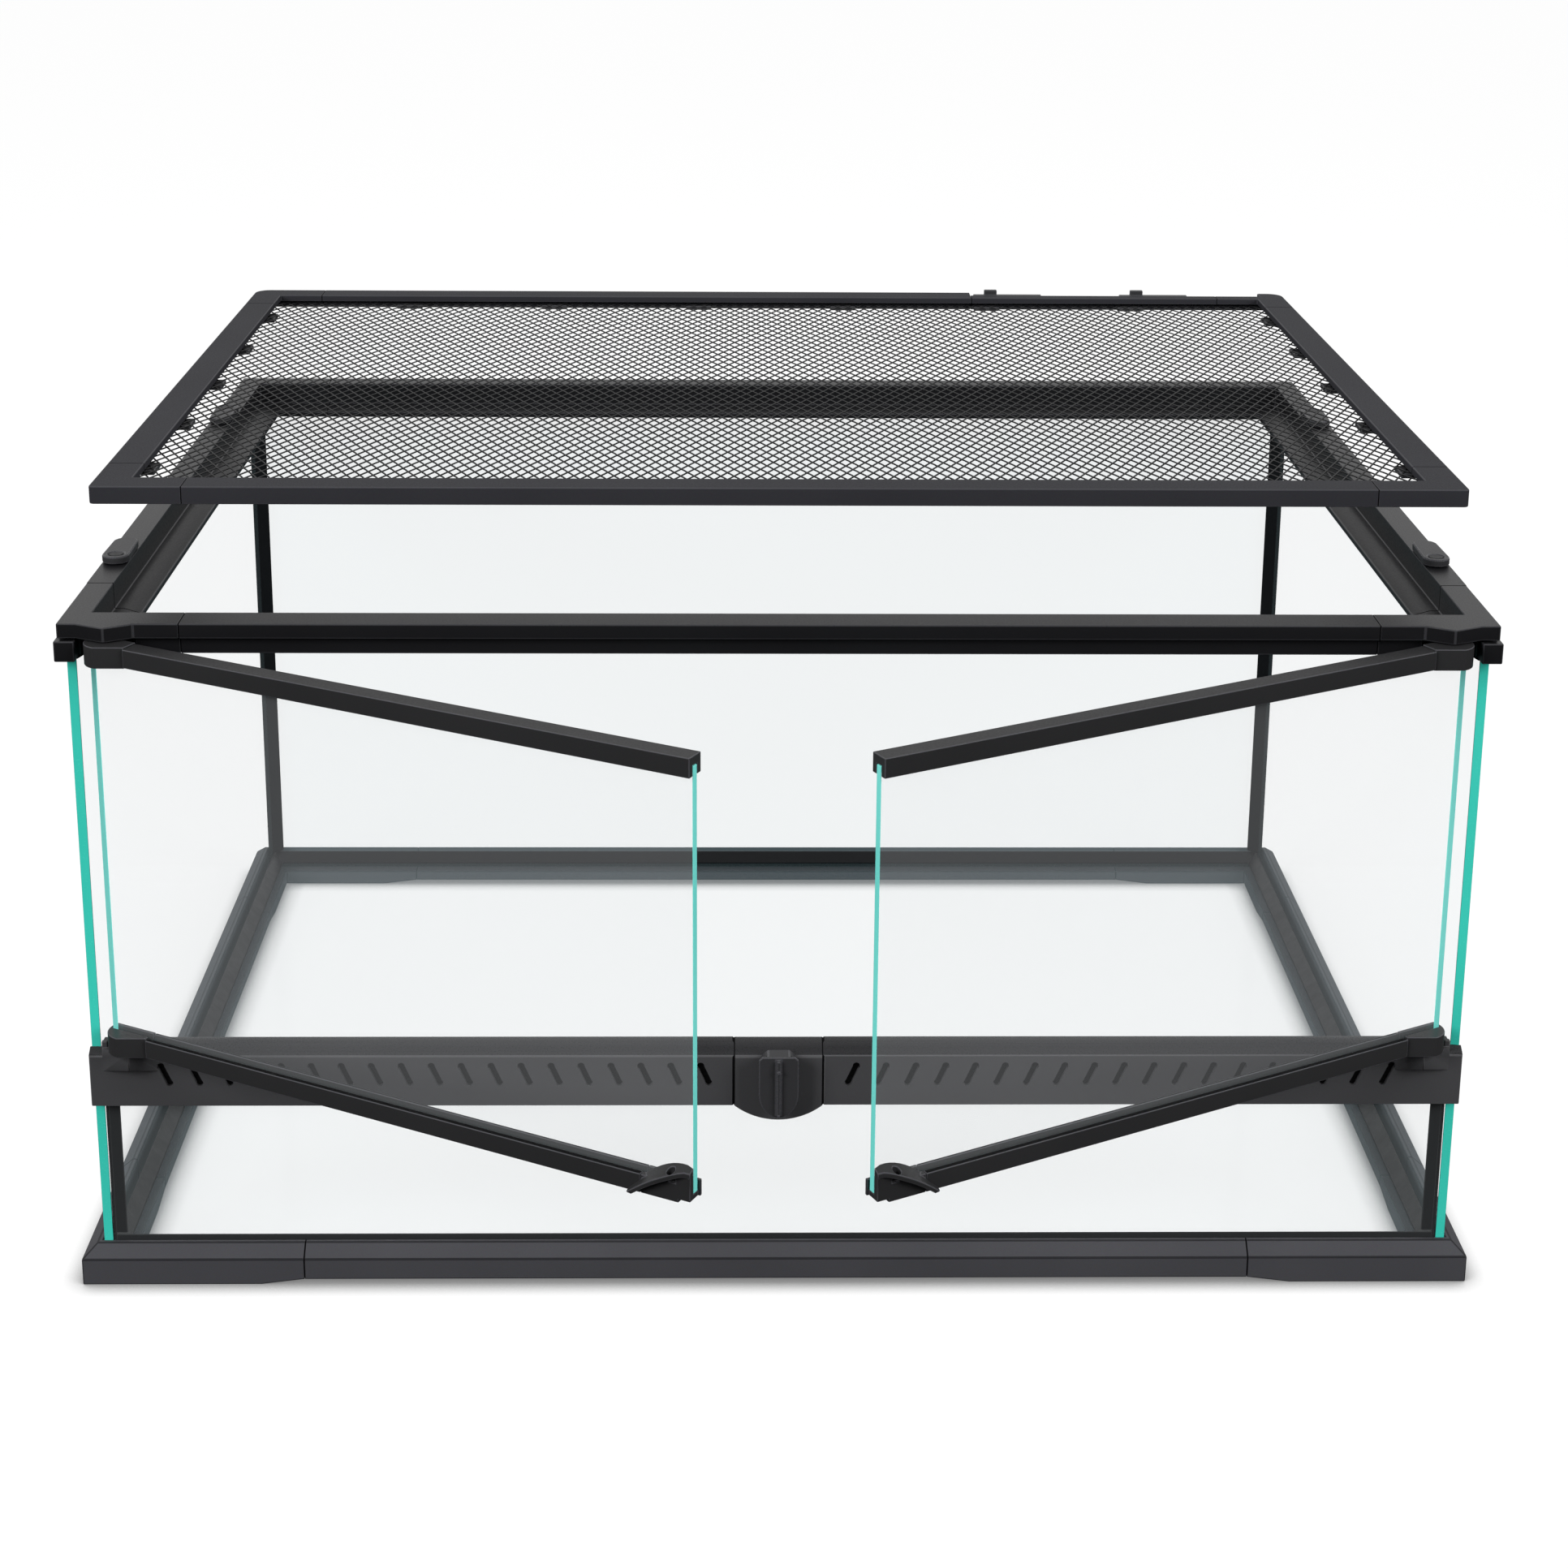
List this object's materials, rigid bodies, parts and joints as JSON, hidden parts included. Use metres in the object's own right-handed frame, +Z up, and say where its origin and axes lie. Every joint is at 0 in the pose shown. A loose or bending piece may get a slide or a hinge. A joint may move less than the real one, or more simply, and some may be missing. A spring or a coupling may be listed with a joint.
{
  "type": "reptile terrarium",
  "caption": "Glass terrarium in a dark plastic frame, with hinged front doors, a slotted vent strip with a turn-button lock, and a mesh lid that lifts out of the top.",
  "frame": {"origin": "centre of the tank on the table it stands on", "axes": "+X to the viewer's right facing the doors, +Y to the rear, +Z up"},
  "size_m": [0.611, 0.5955, 0.3604],
  "materials": {
    "base_plastic": "moulded ABS, fine texture",
    "frame_plastic": "moulded ABS, fine texture",
    "tank_glass": "clear float glass, green edge",
    "door_glass": "clear float glass, polished edges",
    "silicone": "black silicone",
    "vent_screen": "fine black woven screen",
    "pin_steel": "plain steel",
    "knob_plastic": "moulded ABS, satin",
    "screw_steel": "black zinc",
    "lid_mesh": "black coated expanded metal",
    "lid_plastic": "moulded ABS, fine texture",
    "clip_plastic": "moulded ABS",
    "slider_plastic": "moulded ABS, satin",
    "swing_lock_plastic": "moulded ABS, satin",
    "door_plastic": "extruded PVC and moulded ABS, satin",
    "vent_plastic": "moulded ABS, fine texture"
  },
  "bodies": {
    "tank": {"base_corner_front_left": "base_plastic", "base_corner_front_right": "base_plastic", "base_corner_rear_left": "base_plastic", "base_corner_rear_right": "base_plastic", "base_rail_front": "base_plastic", "base_rail_rear": "base_plastic", "base_rail_left": "base_plastic", "base_rail_right": "base_plastic", "floor_pane": "tank_glass", "left_pane": "tank_glass", "right_pane": "tank_glass", "rear_pane": "tank_glass", "front_pane": "tank_glass", "corner_seals": "silicone", "floor_seal": "silicone", "vent_strip_left": "vent_plastic", "vent_strip_right": "vent_plastic", "vent_screens": "vent_screen", "lock_housing": "vent_plastic", "hinge_pins": "pin_steel", "top_corner_front_left": "frame_plastic", "top_corner_front_right": "frame_plastic", "top_corner_rear_left": "frame_plastic", "top_corner_rear_right": "frame_plastic", "top_rail_front": "frame_plastic", "top_rail_rear": "frame_plastic", "top_rail_left": "frame_plastic", "top_rail_right": "frame_plastic", "swing_lock_screws": "screw_steel"},
    "left_door": {"left_door_glass": "door_glass", "left_door_top_rail": "door_plastic", "left_door_bottom_rail": "door_plastic", "left_door_pull": "door_plastic", "left_door_upper_cap": "door_plastic", "left_door_lower_cap": "door_plastic"},
    "right_door": {"right_door_glass": "door_glass", "right_door_top_rail": "door_plastic", "right_door_bottom_rail": "door_plastic", "right_door_pull": "door_plastic", "right_door_upper_cap": "door_plastic", "right_door_lower_cap": "door_plastic"},
    "lock_button": {"lock_knob": "knob_plastic", "lock_pin": "pin_steel"},
    "swing_lock_fl": {"swing_lock_front_left": "swing_lock_plastic"},
    "swing_lock_fr": {"swing_lock_front_right": "swing_lock_plastic"},
    "swing_lock_rl": {"swing_lock_rear_left": "swing_lock_plastic"},
    "swing_lock_rr": {"swing_lock_rear_right": "swing_lock_plastic"},
    "lid": {"lid_corner_front_left": "lid_plastic", "lid_corner_front_right": "lid_plastic", "lid_corner_rear_left": "lid_plastic", "lid_corner_rear_right": "lid_plastic", "lid_rail_front": "lid_plastic", "lid_rail_rear": "lid_plastic", "lid_rail_left": "lid_plastic", "lid_rail_right": "lid_plastic", "lid_inlet_rail": "lid_plastic", "lid_mesh": "lid_mesh", "mesh_clips": "clip_plastic"},
    "slider_a": {"inlet_slider_a": "slider_plastic"},
    "slider_b": {"inlet_slider_b": "slider_plastic"}
  },
  "joints": [
    {"name": "left_door_hinge", "type": "hinge", "parent": "tank", "child": "left_door", "pos_m": [-0.2785, -0.23, 0.205], "axis": [0, 0, -1], "range_deg": [-28, 77]},
    {"name": "right_door_hinge", "type": "hinge", "parent": "tank", "child": "right_door", "pos_m": [0.2785, -0.23, 0.205], "axis": [0, 0, 1], "range_deg": [-28, 77]},
    {"name": "lock_turn", "type": "hinge", "parent": "tank", "child": "lock_button", "pos_m": [0, -0.2285, 0.104], "axis": [0, 1, 0], "range_deg": [0, 180]},
    {"name": "swing_lock_fl_turn", "type": "hinge", "parent": "tank", "child": "swing_lock_fl", "pos_m": [-0.2935, -0.139, 0.3048], "axis": [0, 0, -1], "range_deg": [0, 90]},
    {"name": "swing_lock_fr_turn", "type": "hinge", "parent": "tank", "child": "swing_lock_fr", "pos_m": [0.2935, -0.139, 0.3048], "axis": [0, 0, 1], "range_deg": [0, 90]},
    {"name": "swing_lock_rl_turn", "type": "hinge", "parent": "tank", "child": "swing_lock_rl", "pos_m": [-0.2935, 0.139, 0.3048], "axis": [0, 0, 1], "range_deg": [0, 90]},
    {"name": "swing_lock_rr_turn", "type": "hinge", "parent": "tank", "child": "swing_lock_rr", "pos_m": [0.2935, 0.139, 0.3048], "axis": [0, 0, -1], "range_deg": [0, 90]},
    {"name": "lid_lift", "type": "slide", "parent": "tank", "child": "lid", "axis": [0, 0, 1], "range_m": [-0.0576, 0]},
    {"name": "inlet_a_slide", "type": "slide", "parent": "lid", "child": "slider_a", "axis": [1, 0, 0], "range_m": [0, 0.038]},
    {"name": "inlet_b_slide", "type": "slide", "parent": "lid", "child": "slider_b", "axis": [1, 0, 0], "range_m": [0, 0.038]}
  ]
}
